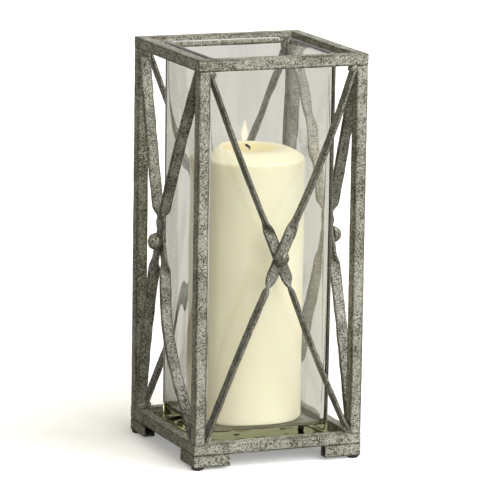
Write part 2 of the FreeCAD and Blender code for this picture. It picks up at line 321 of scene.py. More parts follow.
def antiqued_zinc(name, pale, middle, wash, edge_width, wash_share=0.45, shine=0.18):
    """Zinc grain between two greys, clouds of tone, and a dark wash along the edges.
    edge_width is how far the wash reaches from an edge, in millimetres."""
    material, tree, output = new_material(name)
    place = add(tree, "TexCoord").outputs["Object"]
    spangle = add(tree, "TexVoronoi", {"Vector": place, "Scale": per_metre(GRAIN)})
    grain = add(tree, "TexNoise", {"Vector": place, "Scale": per_metre(1.5 * GRAIN), "Detail": 3.0,
                                   "Roughness": 0.6})
    cloud = add(tree, "TexNoise", {"Vector": place, "Scale": per_metre(CLOUD), "Detail": 4.0,
                                   "Roughness": 0.6})
    stain = add(tree, "TexNoise", {"Vector": place, "Scale": per_metre(STAIN), "Detail": 5.0,
                                   "Roughness": 0.7})
    speck = add(tree, "MapRange", {0: spangle.outputs["Color"], 1: 0.22, 2: 0.80})
    tone = add(tree, "MapRange", {0: cloud.outputs["Fac"], 1: 0.33, 2: 0.67, 3: -0.28, 4: 0.28})
    light = add(tree, "Math", {0: speck.outputs[0], 1: tone.outputs[0]}, use_clamp=True)
    zinc = add(tree, "Mix", {0: light.outputs[0], 6: srgb(middle), 7: srgb(pale)}, data_type="RGBA")

    near = add(tree, "Attribute", attribute_name="edge_mm").outputs["Fac"]
    reach = add(tree, "Math", {0: cloud.outputs["Fac"], 1: 2 * edge_width}, operation="MULTIPLY")
    rubbed = add(tree, "Math", {0: near, 1: reach.outputs[0]}, operation="DIVIDE")
    kept = add(tree, "MapRange", {0: stain.outputs["Fac"], 1: 0.36, 2: 0.60, 3: 0.15, 4: 0.95})
    line = add(tree, "MapRange", {0: rubbed.outputs[0], 1: 0.2, 2: 1.0, 3: kept.outputs[0], 4: 0.0},
               interpolation_type="SMOOTHSTEP")
    pits = add(tree, "MapRange", {0: stain.outputs["Fac"], 1: 0.50, 2: 0.72, 3: 0.0, 4: wash_share})
    broken = add(tree, "MapRange", {0: grain.outputs["Fac"], 1: 0.35, 2: 0.62, 3: 1.0, 4: 0.75})
    most = add(tree, "Math", {0: line.outputs[0], 1: pits.outputs[0]}, operation="MAXIMUM")
    wear = add(tree, "Math", {0: most.outputs[0], 1: broken.outputs[0]}, operation="MULTIPLY",
               use_clamp=True)
    colour = add(tree, "Mix", {0: wear.outputs[0], 6: zinc.outputs[2], 7: srgb(wash)},
                 data_type="RGBA")

    metal = add(tree, "MapRange", {0: wear.outputs[0], 1: 0.0, 2: 1.0, 3: shine, 4: 0.1})
    rough = add(tree, "MapRange", {0: speck.outputs[0], 1: 0.0, 2: 1.0, 3: 0.7, 4: 0.5})
    relief = add(tree, "Bump", {"Strength": 0.35, "Distance": 0.15 * MM,
                                "Height": grain.outputs["Fac"]})
    surface = add(tree, "BsdfPrincipled", {
        "Base Color": colour.outputs[2],
        "Metallic": metal.outputs[0],
        "Roughness": rough.outputs[0],
        "Normal": relief.outputs[0],
    })
    tree.links.new(surface.outputs[0], output.inputs["Surface"])
    return material


tube_zinc = antiqued_zinc("antiqued_zinc_tube", "#b8b8ab", "#3d3928", "#33290f", 0.8)
bar_zinc = antiqued_zinc("antiqued_zinc_bar", "#a9a99e", "#393528", "#271f0e", 0.8)
rivet_zinc = antiqued_zinc("antiqued_zinc_rivet", "#a9a797", "#39372a", "#1f1a10", 0.8, 0.7, 0.5)
weld_zinc = antiqued_zinc("antiqued_zinc_weld", "#bbb9aa", "#4a4739", "#2a2414", 0.1, 0.6)
print("zinc grain of", GRAIN / MM, "mm")

# %% [markdown]
# A square tube is a profile carried along a path. The profile is a square with round corners,
# written so that one loop of directions serves every size: a point is its reach times (half size
# minus radius) plus its turn times the radius. At a mitre the path turns, and the profile is
# stretched along the diagonal there, so that two tubes meet in one plane. The bore is the same
# loop, smaller, carried back, which makes the wall a closed shell with open ends.


# %% Profiles and paths
def corner_loop(per_side, per_corner):
    """Directions round a rounded rectangle, anticlockwise from its right side's upper end.
    Returns reach and turn, both of shape (points, 2), and where each point lies between the two
    nearest corners: 0 on a corner's arc, rising to 0.5 in the middle of a side."""
    reach, turn, between = [], [], []
    share = np.linspace(0, 1, per_side + 2)[1:-1, None]
    for k in range(4):
        arc = np.radians(np.linspace(0, 90, per_corner) + 90 * k)
        diagonal = math.radians(45 + 90 * k)
        here = np.sign([math.cos(diagonal), math.sin(diagonal)])
        after = np.array([-here[1], here[0]])
        reach += [np.tile(here, (per_corner, 1)), here * (1 - share) + after * share]
        last = np.array([math.cos(arc[-1]), math.sin(arc[-1])])
        turn += [np.stack([np.cos(arc), np.sin(arc)], 1), np.tile(last, (per_side, 1))]
        between += [np.zeros(per_corner), np.minimum(share, 1 - share)[:, 0]]
    return np.vstack(reach), np.vstack(turn), np.concatenate(between)


def rounded(loop, half_width, half_height, radius):
    """The points of a rounded rectangle, and each one's distance in mm from the nearest edge."""
    reach, turn, between = loop
    flat = np.array([half_width - radius, half_height - radius])
    points = reach * flat + turn * radius
    run = 2 * np.where(np.abs(turn[:, 0]) > 0.5, flat[1], flat[0])
    return points, between * run / MM


def unit(vectors):
    """Vectors divided by their lengths."""
    return vectors / np.linalg.norm(vectors, axis=-1, keepdims=True)


def carried(profile, centres, across, rise):
    """Profile points (a, b) along a path: centre + a * across + b * rise at every station."""
    a, b = profile[None, :, :1], profile[None, :, 1:]
    return centres[:, None] + a * across[:, None] + b * rise[:, None]


TUBE_LOOP = corner_loop(9, 4)
TUBE_PROFILE, TUBE_NEAR = rounded(TUBE_LOOP, TUBE / 2, TUBE / 2, TUBE_EDGE)
BORE_PROFILE = TUBE_PROFILE * (1 - 2 * TUBE_WALL / TUBE)
TUBE_WAVES = ((0.10 * MM, 22 * MM, 5), (0.05 * MM, 6 * MM, 6))  # height, length and seed


def tube_skin(centres, across, rise):
    """A tube's outer wall along the path, then its bore carried back: rows for a wrapped grid.
    The outer wall is a little uneven, at most about a fifth of a millimetre."""
    outer = carried(TUBE_PROFILE, centres, across, rise)
    middle = outer.mean(1, keepdims=True)
    lift = sum(tall * uneven(outer, long, seed) for tall, long, seed in TUBE_WAVES)
    outer = outer + unit(outer - middle) * lift[..., None]
    bore = carried(BORE_PROFILE, centres, across, rise)[::-1]
    near = np.vstack([np.tile(TUBE_NEAR, (len(centres), 1)), np.zeros(bore.shape[:2])])
    return np.concatenate([outer, bore]), near


def path_rows(points, across, rise=(0, 0, 1)):
    """Centres, across and rise directions of a path, as arrays with one row for each station."""
    points = np.array(points, float)
    return points, np.array(across, float), np.tile(np.array(rise, float), (len(points), 1))


# %% [markdown]
# Two rings of four mitred rails hold four posts, and each corner stands on a foot, an L of two
# short tubes. A rail could be one long box, but its wall, its soft edges and its mitres are what
# makes it read as tube. A station every few millimetres lets the unevenness show.

# %% Rails, posts and feet
STEP = 5 * MM
PAST_MITRE = 1 * MM  # the first station of a straight run, beyond the mitre


def along(start, end):
    """Places from start to end, about one step apart."""
    count = max(2, int(abs(end - start) / STEP) + 1)
    return np.linspace(start, end, count)


def rail_path(z):
    """The front rail's path: mitred at both ends, straight between."""
    run = along(-CLEAR + PAST_MITRE, CLEAR - PAST_MITRE)
    x = np.concatenate([[-MIDDLE], run, [MIDDLE]])
    points = [(v, -MIDDLE, z + TUBE / 2) for v in x]
    across = [(1, 1, 0)] + [(0, 1, 0)] * len(run) + [(-1, 1, 0)]
    return path_rows(points, across)


def foot_path():
    """From the open end of one arm to the mitre under the corner, and out along the other arm."""
    arm = along(-HALF + (FOOT_HIGH.x - FOOT_LOW.x), -CLEAR + PAST_MITRE)
    z = FOOT_LOW.z + TUBE / 2
    first = [(v, -MIDDLE, z) for v in arm]
    second = [(-MIDDLE, v, z) for v in arm[::-1]]
    across = [(0, 1, 0)] * len(arm) + [(1, 1, 0)] + [(1, 0, 0)] * len(arm)
    return path_rows(first + [(-MIDDLE, -MIDDLE, z)] + second, across)


def post_path():
    """Straight up the middle of the front left post."""
    points = [(-MIDDLE, -MIDDLE, v) for v in along(POST_Z, POST_TOP)]
    return path_rows(points, [(1, 0, 0)] * len(points), (0, 1, 0))


for quarters, side in enumerate(SIDES):
    for ring, z in (("top", POST_TOP), ("bottom", BOTTOM_RING_Z)):
        centres, across, rise = rail_path(z)
        grid, near = tube_skin(*(turned(rows, quarters) for rows in (centres, across, rise)))
        name = f"{ring}_rail_{side}"
        skin(name + "_skin", grid, tube_zinc, "cage", [name], True, near)

for quarters, corner in enumerate(CORNERS):
    for kind, path in (("post", post_path()), ("foot", foot_path())):
        grid, near = tube_skin(*(turned(rows, quarters) for rows in path))
        name = f"{kind}_{corner}"
        skin(name + "_skin", grid, tube_zinc, "cage", [name], True, near)
print("rails, posts and feet:", 2 * len(SIDES) + 2 * len(CORNERS))

# %% [markdown]
# Each bar of a cross is flat strip, twisted a quarter turn so that it lies flat at the crossing and
# edge-on beyond it, then sprung outwards to where the rivet holds it. It is again a profile on a
# path. The section turns smoothly from one position to the other, and the ends are pressed
# against the posts and rails by clipping their points to the opening.

# %% Bars of the crosses
BAR_HALF_WIDTH, BAR_HALF_THICKNESS = 4.9 * MM, 1.5 * MM
BAR_ROUND = 0.8 * MM
BAR_FLAT, BAR_TURN = 17 * MM, 16 * MM
BAR_SPRING = 1.5
BAR_OVERRUN = 6 * MM  # how far an arm's path runs on before its end is clipped
BAR_WAVES = ((0.16 * MM, 20 * MM, 0), (0.06 * MM, 5 * MM, 50))  # height, length and added seed
RIVET_RADIUS, RIVET_STANDS = 7 * MM, 0.8 * MM
BITE = 0.4 * MM  # how far a bar's end is sunk into the tube that it is welded to
ARM_LENGTH = math.hypot(CLEAR, (POST_TOP - POST_Z) / 2)

# How far an arm is bent at its middle: along its side to the right, and outwards.
ARM_BEND = {
    ("front", "outer", "upper"): (2.8 * MM, 0),
    ("front", "outer", "lower"): (-1.4 * MM, 0),
    ("front", "inner", "upper"): (-1.1 * MM, 0),
    ("front", "inner", "lower"): (-1.9 * MM, 0),
    ("left", "inner", "lower"): (-9.0 * MM, 4.5 * MM),
}


def cross_point(side):
    """Where a cross's middle stands, as if its side were turned to the front: its rivet's box
    gives it, less the ball that stands out of the outer bar."""
    low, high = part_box("rivet_" + side)
    box = turned(np.array([low, high]), -SIDES.index(side))
    x, z = (box[0, 0] + box[1, 0]) / 2, (box[0, 2] + box[1, 2]) / 2
    y = box[:, 1].min() + RIVET_RADIUS + RIVET_STANDS + 2 * BAR_HALF_THICKNESS
    return np.array([x, y, z])


def bar_centres(side, lean, share):
    """The bar's centre line. share runs from -1 at the top end to 1 at the lower end, and lean is
    1 where the bar runs down to the right. Away from the crossing the line goes straight to its
    end in x and z, plus a bend of sin(pi * away), and falls back in y as 1 - away ** 1.5."""
    cross = cross_point(side)
    away = np.abs(share)
    x_end = lean * CLEAR * np.sign(share)
    z_end = np.where(share < 0, POST_TOP, POST_Z)
    which = "inner" if lean > 0 else "outer"
    upper = ARM_BEND.get((side, which, "upper"), (0, 0))
    lower = ARM_BEND.get((side, which, "lower"), (0, 0))
    bow = np.sin(np.pi * np.minimum(away, 1)) * (1 - np.exp(-((away / 0.25) ** 2)))
    bend_along = np.where(share < 0, upper[0], lower[0]) * bow
    bend_out = np.where(share < 0, upper[1], lower[1]) * bow
    lap = -lean * BAR_HALF_THICKNESS * (1 - away**3)
    x = cross[0] + (x_end - cross[0]) * away + bend_along
    y = -MIDDLE + (cross[1] + MIDDLE) * (1 - away**BAR_SPRING) - lap - bend_out
    z = cross[2] + (z_end - cross[2]) * away
    return np.stack([x, y, z], -1)


BAR_LOOP = corner_loop(6, 4)


def bar_grid(side, lean, seed):
    """The section carried along the bar, turned by 90 degrees times smoothstep of the distance
    past the flat. Its width and thickness wander a little, as in strip cut by hand."""
    distance = np.linspace(-ARM_LENGTH - BAR_OVERRUN, ARM_LENGTH + BAR_OVERRUN, 150)
    share = distance / ARM_LENGTH
    centres = bar_centres(side, lean, share)
    tangent = unit(bar_centres(side, lean, share + 0.004) - bar_centres(side, lean, share - 0.004))
    straight = unit(np.array([lean * CLEAR, 0, -(POST_TOP - POST_Z) / 2]))
    blend = np.exp(-((distance / (6 * MM)) ** 2))[:, None]
    tangent = unit(tangent * (1 - blend) + straight * blend)
    outward = np.tile([0.0, -1.0, 0.0], (len(share), 1))
    leftward = unit(np.cross(outward, tangent))
    outward = unit(np.cross(tangent, leftward))
    leftward *= -np.sign(leftward[:, :1])
    outward *= -np.sign(outward[:, 1:2])
    beyond = np.clip((np.abs(distance) - BAR_FLAT) / BAR_TURN, 0, 1)
    angle = np.copysign(np.pi / 2 * beyond**2 * (3 - 2 * beyond), distance)[:, None]
    through = outward * np.cos(angle) - leftward * np.sin(angle)
    width = np.cross(tangent, through)
    profile, near = rounded(BAR_LOOP, BAR_HALF_WIDTH, BAR_HALF_THICKNESS, BAR_ROUND)
    grid = carried(profile, centres, width, through)
    spoke = unit(grid - centres[:, None])
    lift = sum(tall * uneven(grid, long, seed + more) for tall, long, more in BAR_WAVES)
    calm = 1 - np.exp(-((distance / (9 * MM)) ** 2))[:, None, None]
    grid = grid + spoke * lift[..., None] * calm
    grid[..., 0] = np.clip(grid[..., 0], -CLEAR - BITE, CLEAR + BITE)
    grid[..., 2] = np.clip(grid[..., 2], POST_Z - BITE, POST_TOP + BITE)
    return grid, near


def capped(grid):
    """The grid with one more row at each end, shrunk to that end's middle, which closes it."""
    first = np.broadcast_to(grid[:1].mean(1, keepdims=True), grid[:1].shape)
    last = np.broadcast_to(grid[-1:].mean(1, keepdims=True), grid[-1:].shape)
    return np.concatenate([first, grid, last])


for quarters, side in enumerate(SIDES):
    for lean, which in ((1, "inner"), (-1, "outer")):
        grid, near = bar_grid(side, lean, 10 * quarters + lean + 20)
        name = f"brace_{side}_{which}"
        skin(name + "_skin", turned(capped(grid), quarters), bar_zinc, "cage", [name],
             edge=near)
    print(side, "cross at", np.round(cross_point(side) / MM, 1), "mm")

# %% [markdown]
# A rivet with a ball head clamps each crossing. It could be a plain sphere, but a struck head has
# small dents and a neck, so it is a profile turned round its axis, from the front of the ball back
# along the shank to the flat tail inside, with the dents added afterwards.


# %% Rivets
SHANK_RADIUS, RIVET_GRIP = 2.5 * MM, 6.3 * MM
TAIL_RADIUS, TAIL_THICK = 4.0 * MM, 1.5 * MM
DENT = 0.22 * MM


def revolved(radii, heights, count):
    """A profile turned round the z axis: rows follow the profile, columns go round it."""
    angle = np.linspace(0, 2 * np.pi, count, endpoint=False)
    x, y = radii[:, None] * np.cos(angle), radii[:, None] * np.sin(angle)
    return np.stack([x, y, np.broadcast_to(heights[:, None], x.shape)], -1)


def rivet_profile():
    """Radius and height above the outer bar. The head is r = R sin(a), h = stands + R cos(a)."""
    meets = math.acos(-RIVET_STANDS / RIVET_RADIUS)
    a = np.linspace(0, meets, 22)
    head = np.stack([RIVET_RADIUS * np.sin(a), RIVET_STANDS + RIVET_RADIUS * np.cos(a)], 1)
    shank = np.array([(SHANK_RADIUS, 0), (SHANK_RADIUS, -RIVET_GRIP), (TAIL_RADIUS, -RIVET_GRIP)])
    b = np.linspace(0, np.pi / 2, 8)
    tail = np.stack([TAIL_RADIUS * np.cos(b), -RIVET_GRIP - TAIL_THICK * np.sin(b)], 1)
    return np.vstack([head, shank, tail[1:]])


for quarters, side in enumerate(SIDES):
    profile = rivet_profile()
    grid = revolved(profile[:, 0], profile[:, 1], 40)
    outer_face = cross_point(side) - np.array([0, 2 * BAR_HALF_THICKNESS, 0])
    grid = np.stack([grid[..., 0], -grid[..., 2], grid[..., 1]], -1) + outer_face
    centre = outer_face - np.array([0, RIVET_STANDS, 0])
    dent = DENT * uneven(grid, RIVET_RADIUS, 70 + quarters)
    on_head = grid[..., 1] < outer_face[1] - 0.3 * MM
    grid = grid + unit(grid - centre + 1e-9) * (dent * on_head)[..., None]
    near = np.abs(grid[..., 1] - outer_face[1]) / MM
    skin(f"rivet_{side}_skin", turned(grid, quarters), rivet_zinc, "cage",
         [f"rivet_{side}"], edge=near)
print("rivet head", 2 * RIVET_RADIUS / MM, "mm across")

# %% [markdown]
# The bars are welded into the corners of each side, and the welds were ground only where a grinder
# could reach, so a lumpy fillet fills each inside corner. A round ball of metal would look like a
# stuck-on blob. This one is drawn as a bead whose face bends from the post to the rail, with its
# hidden back sunk into the tubes.

# %% Weld beads in the corners
WELD_REACH = 7.0 * MM
WELD_DEPTH = 5.1 * MM
WELD_SUNK = 1.0 * MM
WELD_SPREAD = 0.95  # radians from a bead's middle to where it has sunk by about two thirds
WELD_LUMP = 0.5 * MM


def weld_bead(x_sign, z, z_sign, seed):
    """A bead at one inside corner of the front side. Round the corner, its radius is the reach
    within the opening's quarter and the sunk depth behind it, shrinking to nothing at both ends
    of its depth as (1 - v ** 4) ** 0.5."""
    v = np.linspace(-1, 1, 15)[:, None]
    a = np.linspace(0, 2 * np.pi, 36, endpoint=False)[None, :]
    off = (a - np.pi / 4) / WELD_SPREAD, (a - np.pi / 4 - 2 * np.pi) / WELD_SPREAD
    inside = np.exp(-(off[0] ** 2)) + np.exp(-(off[1] ** 2))
    shrink = np.sqrt(np.clip(1 - v**4, 0, 1))
    radius = (WELD_SUNK + (WELD_REACH - WELD_SUNK) * inside) * shrink
    along_rail, along_post = radius * np.cos(a), radius * np.sin(a)
    points = np.stack([
        x_sign * (CLEAR - along_rail),
        -MIDDLE + WELD_DEPTH * np.broadcast_to(v, radius.shape),
        z + z_sign * along_post,
    ], -1)
    lump = WELD_LUMP * uneven(points, 6 * MM, seed) * shrink
    corner = np.array([x_sign * CLEAR, 0, z]) + points * np.array([0, 1, 0])
    return points + (points - corner) / (np.abs(radius[..., None]) + 0.1 * MM) * lump[..., None]


for quarters, side in enumerate(SIDES):
    for ring, z, z_sign in (("top", POST_TOP, -1), ("bottom", POST_Z, 1)):
        for end, x_sign in (("left", -1), ("right", 1)):
            bead = weld_bead(x_sign, z, z_sign, 90 + 8 * quarters + x_sign + 3 * z_sign)
            skin(f"weld_{side}_{ring}_{end}", turned(bead, quarters), weld_zinc,
                 "cage", [], edge=np.full(bead.shape[:2], 3.0))
print("weld beads:", 4 * len(SIDES))

# %% [markdown]
# Small rubber pads keep the feet off the table, and a thin steel plate inside the bottom ring
# carries the glass. The pads are moulded, so they are turned profiles in matt black rubber. The
# plate is a stack of rounded squares, one inside another, in steel blackened by oil and heat.


# %% Black rubber and blackened steel
def nested_squares(half_widths, radii, heights, loop):
    """Rows of rounded squares about the z axis: half width, corner radius and height of each."""
    reach, turn, _ = loop
    flat = (half_widths - radii)[:, None, None]
    ring = reach[None] * flat + turn[None] * radii[:, None, None]
    z = np.broadcast_to(heights[:, None, None], ring[..., :1].shape)
    return np.concatenate([ring, z], -1)


moulded_rubber, tree, output = new_material("moulded_black_rubber")
place = add(tree, "TexCoord").outputs["Object"]
bloom = add(tree, "TexNoise", {"Vector": place, "Scale": per_metre(3 * MM), "Detail": 4.0})
tint = add(tree, "Mix", {0: bloom.outputs["Fac"], 6: srgb("#17161a"), 7: srgb("#34322f")},
           data_type="RGBA")
matt = add(tree, "MapRange", {0: bloom.outputs["Fac"], 1: 0.3, 2: 0.7, 3: 0.55, 4: 0.8})
rubber = add(tree, "BsdfPrincipled", {"Base Color": tint.outputs[2], "Roughness": matt.outputs[0]})
tree.links.new(rubber.outputs[0], output.inputs["Surface"])

blackened_steel, tree, output = new_material("blackened_sheet_steel")
place = add(tree, "TexCoord").outputs["Object"]
scale = add(tree, "TexNoise", {"Vector": place, "Scale": per_metre(9 * MM), "Detail": 6.0,
                               "Roughness": 0.65})
rolled = add(tree, "TexNoise", {"Vector": place, "Scale": per_metre(1.2 * MM), "Detail": 2.0})
tint = add(tree, "Mix", {0: scale.outputs["Fac"], 6: srgb("#5d5b45"), 7: srgb("#9a967c")},
           data_type="RGBA")
relief = add(tree, "Bump", {"Strength": 0.3, "Distance": 0.1 * MM, "Height": rolled.outputs["Fac"]})
plate_rough = add(tree, "MapRange", {0: rolled.outputs["Fac"], 1: 0.3, 2: 0.7, 3: 0.35, 4: 0.6})
sheet_steel = add(tree, "BsdfPrincipled", {
    "Base Color": tint.outputs[2],
    "Metallic": 0.3,
    "Roughness": plate_rough.outputs[0],
    "Normal": relief.outputs[0],
})
tree.links.new(sheet_steel.outputs[0], output.inputs["Surface"])

# %% [markdown]
# A pad's side is a quarter ellipse, as in moulded rubber. Squares that shrink to a point and grow
# again give the plate its two faces.

# %% Pads and base plate
for quarters, corner in enumerate(CORNERS):
    low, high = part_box("foot_pad_" + corner)
    rim, tall = (high.x - low.x) / 2, high.z - low.z
    a = np.linspace(0, np.pi / 2, 9)
    radii = np.concatenate([[0, 0.3 * rim], 0.45 * rim + 0.55 * rim * np.sin(a), [0.93 * rim, 0]])
    heights = np.concatenate([[0, 0], 0.9 * tall * (1 - np.cos(a)), [tall, tall]]) + low.z
    grid = revolved(radii, heights, 32) + np.array([-MIDDLE, -MIDDLE, 0])
    skin(f"foot_pad_{corner}_skin", turned(grid, quarters), moulded_rubber, "cage",
         ["foot_pad_" + corner])

PLATE_LOW, PLATE_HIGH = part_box("base_plate")
inset = np.concatenate([np.linspace(1, 0.04, 12), [0.005, 0, 0, 0.005], np.linspace(0.04, 1, 12)])
plate_half = PLATE_HIGH.x * (1 - inset)
step = np.array([1.0] * 13 + [0.8, 0.2] + [0.0] * 13)
plate_z = PLATE_LOW.z + (PLATE_HIGH.z - PLATE_LOW.z) * step
plate_round = np.minimum(1 * MM, plate_half * 0.5)
plate = nested_squares(plate_half, plate_round, plate_z, corner_loop(20, 3))
skin("base_plate_skin", plate, blackened_steel, "cage", ["base_plate"])
print("plate", round(2 * PLATE_HIGH.x / MM, 1), "mm square")

# %% [markdown]
# The glass is pressed soda-lime glass: nearly colourless through one wall, and grey green where
# light runs a long way through it, as in the heavy floor and along the upright corners. Tinting
# its surface would colour all of it alike, so the tint is an absorption inside the solid, a share
# lost for every metre. Real glass also bends the lamps' light into bright lines that take very
# long to compute, so rays from lamps and from soft bounces go straight through.

# %% Pressed glass
GLASS_LOSS = 14.0  # per metre, of the channel that the glass takes most
GLASS_SLAG = 34 * MM  # the slow waves that pressing leaves in a wall

pressed_glass, tree, output = new_material("pressed_soda_lime_glass")
place = add(tree, "TexCoord").outputs["Object"]
stretch = add(tree, "Mapping", {"Vector": place, "Scale": (1.0, 1.0, 0.25)})
ripple = add(tree, "TexNoise", {"Vector": stretch.outputs[0], "Scale": per_metre(GLASS_SLAG),
                                "Detail": 1.0})
relief = add(tree, "Bump", {"Strength": 0.3, "Distance": 0.15 * MM, "Height": ripple.outputs["Fac"]})
glass = add(tree, "BsdfPrincipled", {
    "Base Color": (1.0, 1.0, 1.0, 1.0),
    "Transmission Weight": 1.0,
    "IOR": 1.52,
    "Roughness": 0.0,
    "Normal": relief.outputs[0],
})
clear = add(tree, "BsdfTransparent", {"Color": (0.97, 0.975, 0.96, 1.0)})
path = add(tree, "LightPath")
soft = add(tree, "Math", {0: path.outputs["Is Shadow Ray"], 1: path.outputs["Is Diffuse Ray"]},
           operation="MAXIMUM")
both = add(tree, "MixShader", {0: soft.outputs[0], 1: glass.outputs[0], 2: clear.outputs[0]})
tree.links.new(both.outputs[0], output.inputs["Surface"])
tint = add(tree, "VolumeAbsorption", {"Color": (0.30, 0.32, 0.0, 1.0), "Density": GLASS_LOSS})
tree.links.new(tint.outputs[0], output.inputs["Volume"])

# %% [markdown]
# The vase is a stack of rounded squares that follows one profile: from the middle of the floor
# inside, up the inner wall, over the rim, down the outer wall, round the foot and back under.
# The floor is thick with a soft inner corner. Inside, the wall wanders by a fraction of a
# millimetre, as it does where a plunger pressed it, and that gives the view through it its waver.
# The floor's two faces are hollowed in shallow waves, because thick glass sinks as it cools, and
# they break up what the heavy floor reflects.

# %% The vase
VASE_LOW, VASE_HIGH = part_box("glass_vase")
WALL, FLOOR_THICK = 4 * MM, 11 * MM
CORNER_INSIDE, CORNER_OUTSIDE = 6.5 * MM, 8 * MM
VASE_TAPER = 1 * MM  # the base is this much narrower than the rim, on each side
INNER_ROWS = 80  # rows of the profile inside the vase, as far as the first one of the rim
PRESS, CHILL = 0.10 * MM, 0.13 * MM  # how far the walls and the floor's faces wander
HOLLOW_ROW, HOLLOW_FADE = -20, 10 * MM  # they end a corner radius beyond this profile row


def quarter(radius, start, end, count):
    """Points on a quarter circle: cos and sin of angles from start to end, in degrees."""
    a = np.radians(np.linspace(start, end, count))
    return radius * np.cos(a), radius * np.sin(a)


def vase_profile():
    """Half width, height and corner radius along the profile. Over the rim, the radius changes from
    the inner to the outer one with the cosine of the way round."""
    z0, z1 = VASE_LOW.z, VASE_HIGH.z
    low_half = VASE_HIGH.x - VASE_TAPER
    floor_z = z0 + FLOOR_THICK
    inner_low = low_half - WALL
    soft_edge, foot_edge, rim_edge = 5 * MM, 3.5 * MM, 1.9 * MM
    inside = [((inner_low - soft_edge) * share, floor_z) for share in np.linspace(0, 1, 22)]
    c, s = quarter(soft_edge, -90, 0, 9)
    inside += list(zip(inner_low - soft_edge + c[1:], floor_z + soft_edge + s[1:]))
    for z in np.linspace(floor_z + soft_edge, z1 - rim_edge, 50)[1:]:
        inside.append((inner_low + VASE_TAPER * (z - floor_z) / (z1 - z0), z))
    a = np.linspace(np.pi, 0, 11)[1:-1]
    rim = np.stack([VASE_HIGH.x - WALL / 2 * (1 - np.cos(a)), z1 - rim_edge + rim_edge * np.sin(a)], 1)
    outside = []
    for z in np.linspace(z1 - rim_edge, z0 + foot_edge, 50):
        outside.append((low_half + VASE_TAPER * (z - z0) / (z1 - z0), z))
    c, s = quarter(foot_edge, 0, -90, 8)
    outside += list(zip(low_half - foot_edge + c[1:], z0 + foot_edge + s[1:]))
    outside += [((low_half - foot_edge) * share, z0) for share in np.linspace(1, 0, 22)[1:]]
    half, height = np.vstack([inside, rim, outside]).T
    over = (1 + np.cos(a)) / 2
    corner = np.concatenate([
        np.full(len(inside), CORNER_INSIDE),
        CORNER_INSIDE + (CORNER_OUTSIDE - CORNER_INSIDE) * over,
        np.full(len(outside), CORNER_OUTSIDE),
    ])
    return half, height, np.minimum(corner, half * 0.9)


half, height, corner = vase_profile()
vase = nested_squares(half, corner, height, corner_loop(22, 9))
inner_wall = (np.arange(len(half)) < INNER_ROWS) & (height > VASE_LOW.z + FLOOR_THICK + 0.5 * MM)
press = PRESS * uneven(vase * np.array([1, 1, 0.3]), 26 * MM, 31)
sideways = unit(vase * np.array([1, 1, 0]) + 1e-9)
vase = vase + sideways * (press * inner_wall[:, None])[..., None]

flat = np.clip((CORNER_INSIDE + half[HOLLOW_ROW] - half) / HOLLOW_FADE, 0, 1)[:, None]
chill = CHILL * (1 + 0.8 * uneven(vase * np.array([1, 1, 0]), 14 * MM, 36))
floor_top = (np.abs(height - VASE_LOW.z - FLOOR_THICK) < 0.1 * MM)[:, None]
underside = (height < VASE_LOW.z + 0.1 * MM)[:, None]
vase[..., 2] += flat * np.clip(chill, 0, None) * (underside * 1.0 - floor_top * 1.0)
vase_piece = skin("glass_vase_skin", vase, pressed_glass, "glass", ["glass_vase"])
print("vase faces:", len(vase_piece.data.polygons))

# %% [markdown]
# The candle is cream paraffin wax, poured in a mould and burnt a little: a warm, slightly
# translucent solid whose skin is waxy smooth. Plain paint would look like plaster, because light
# enters wax and comes out some millimetres away, so it scatters under the surface here. The wax
# also glows faintly and evenly all over. This is painted light: it partly stands for the flame
# shining down into the wax, and it mostly brightens the side of the candle that the softboxes leave
# in shade. The pool round the wick is melted and set again, and looks deeper and yellower.

# %% Cream wax
CANDLE_LOW, CANDLE_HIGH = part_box("candle_wax")

cream_wax, tree, output = new_material("cream_paraffin_wax")
place = add(tree, "TexCoord").outputs["Object"]
mottle = add(tree, "TexNoise", {"Vector": place, "Scale": per_metre(30 * MM), "Detail": 3.0})
frost = add(tree, "TexNoise", {"Vector": place, "Scale": per_metre(2.5 * MM), "Detail": 3.0})
body_tone = add(tree, "Mix", {0: mottle.outputs["Fac"], 6: srgb("#f5ecd0"), 7: srgb("#fcf7e6")},
                data_type="RGBA")
melt = add(tree, "Attribute", attribute_name="melt").outputs["Fac"]
wax_tone = add(tree, "Mix", {0: melt, 6: body_tone.outputs[2], 7: srgb("#f3e3ab")},
               data_type="RGBA")
skin_rough = add(tree, "MapRange", {0: frost.outputs["Fac"], 1: 0.3, 2: 0.7, 3: 0.38, 4: 0.5})
relief = add(tree, "Bump", {"Strength": 0.12, "Distance": 0.2 * MM, "Height": frost.outputs["Fac"]})
wax = add(tree, "BsdfPrincipled", {
    "Base Color": wax_tone.outputs[2],
    "Roughness": skin_rough.outputs[0],
    "IOR": 1.43,
    "Subsurface Weight": 0.6,
    "Subsurface Radius": (1.0, 0.75, 0.4),
    "Subsurface Scale": 7 * MM,
    # painted light: an even warm glow over all the wax, which brightens its shaded side
    "Emission Color": srgb("#fff0c6"),
    "Emission Strength": 0.12,
    "Normal": relief.outputs[0],
})
tree.links.new(wax.outputs[0], output.inputs["Surface"])

# %% [markdown]
# The wax is a turned profile too: foot, side, soft shoulder, a slope up to the rim, and down into
# the pool. Burning never leaves a true circle, so the rim's height and the side wander slowly
# round the candle, and the middle of the pool dips towards its wick.

# %% The candle
WAX_RADIUS = CANDLE_HIGH.x
WAX_FALL, WAX_SHOULDER, WAX_FOOT = 6 * MM, 4 * MM, 3 * MM
POOL_RADIUS, POOL_DEPTH, POOL_LIP = 28 * MM, 3 * MM, 3 * MM
RIM_SAG, RIM_REACH = 0.7 * MM, 12 * MM  # how far the rim has sunk, and from how far down
SIDE_WAVE = 0.25 * MM
MELT_FADE = 8 * MM


